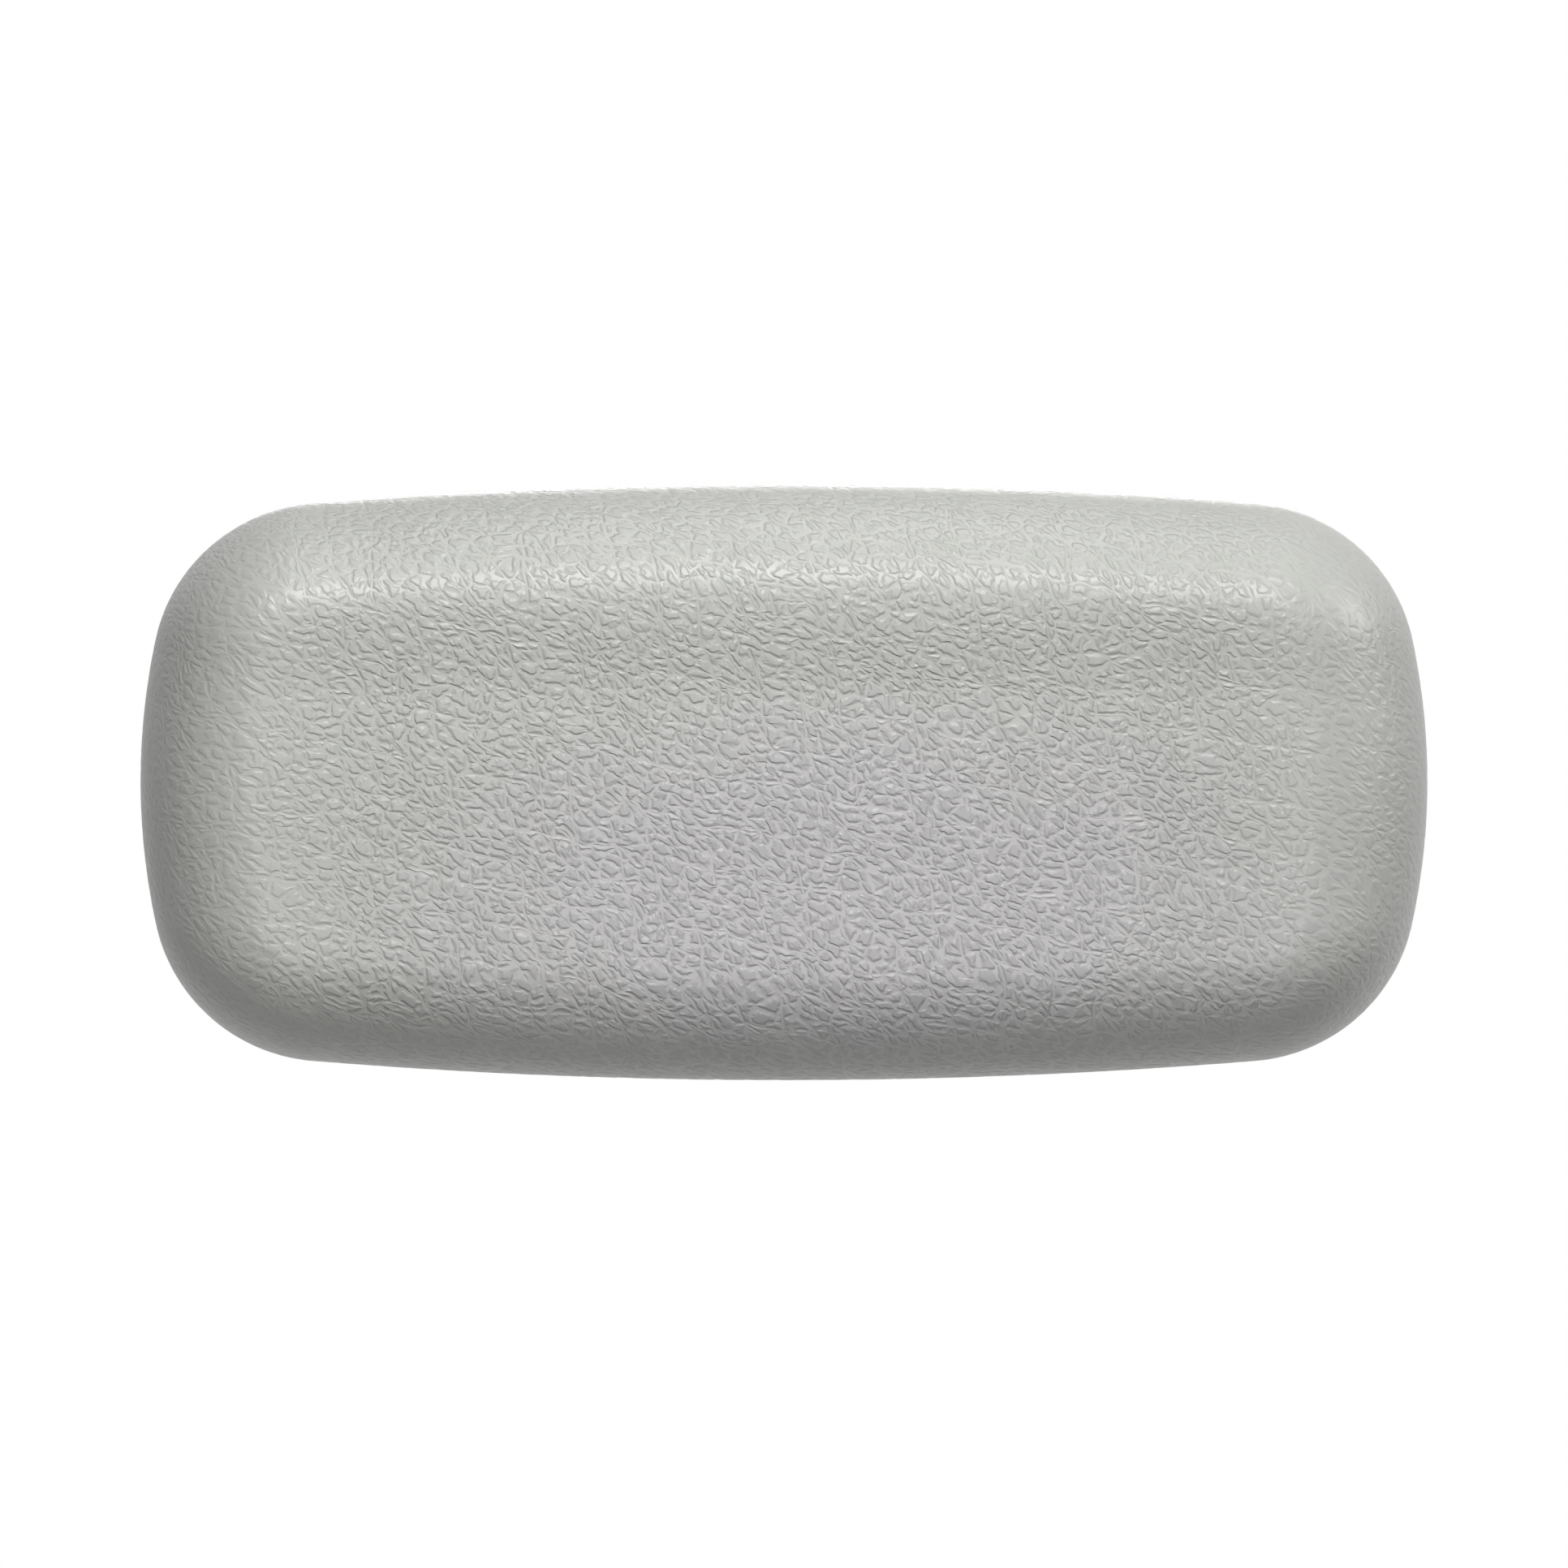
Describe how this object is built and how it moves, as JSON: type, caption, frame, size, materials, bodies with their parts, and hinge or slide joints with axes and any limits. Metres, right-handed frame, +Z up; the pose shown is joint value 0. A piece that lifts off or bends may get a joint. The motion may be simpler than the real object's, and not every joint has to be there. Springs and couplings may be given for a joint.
{
  "type": "bath pillow",
  "caption": "Moulded bath pillow with a grained, dished face, foam core and a flat back with snap-in suction cups that pull out and turn.",
  "frame": {"origin": "midway between the two suction cups, in the plane of their rims, which is the tub wall", "axes": "+X along the pillow, +Y out of the back into the tub wall, +Z up; the face looks towards -Y"},
  "size_m": [0.28, 0.0678, 0.13],
  "materials": {
    "skin": "pale warm grey, satin, moulded leather grain",
    "foam": "open cell foam, matt",
    "plate": "moulded, matt",
    "socket": "moulded, satin",
    "ring": "black rubber",
    "stud": "moulded nylon",
    "cup": "soft translucent vinyl, glossy",
    "screw": "stainless"
  },
  "bodies": {
    "pillow": {"face_skin": "skin", "back_skin": "skin", "foam_core": "foam", "insert_plate": "plate", "left_socket": "socket", "left_grip_ring": "ring", "left_socket_screw_1": "screw", "left_socket_screw_2": "screw", "left_socket_screw_3": "screw", "left_socket_screw_4": "screw", "right_socket": "socket", "right_grip_ring": "ring", "right_socket_screw_1": "screw", "right_socket_screw_2": "screw", "right_socket_screw_3": "screw", "right_socket_screw_4": "screw"},
    "left_stud": {"left_cup_stud": "stud"},
    "left_cup": {"left_suction_cup": "cup"},
    "right_stud": {"right_cup_stud": "stud"},
    "right_cup": {"right_suction_cup": "cup"}
  },
  "joints": [
    {"name": "left_stud_pull", "type": "slide", "parent": "pillow", "child": "left_stud", "axis": [0, 1, 0], "range_m": [0, 0.025], "deforming": ["left_grip_ring"]},
    {"name": "left_cup_turn", "type": "hinge", "parent": "left_stud", "child": "left_cup", "pos_m": [-0.07, -0.012, 0], "axis": [0, 1, 0], "continuous": true},
    {"name": "right_stud_pull", "type": "slide", "parent": "pillow", "child": "right_stud", "axis": [0, 1, 0], "range_m": [0, 0.025], "deforming": ["right_grip_ring"]},
    {"name": "right_cup_turn", "type": "hinge", "parent": "right_stud", "child": "right_cup", "pos_m": [0.07, -0.012, 0], "axis": [0, 1, 0], "continuous": true}
  ]
}
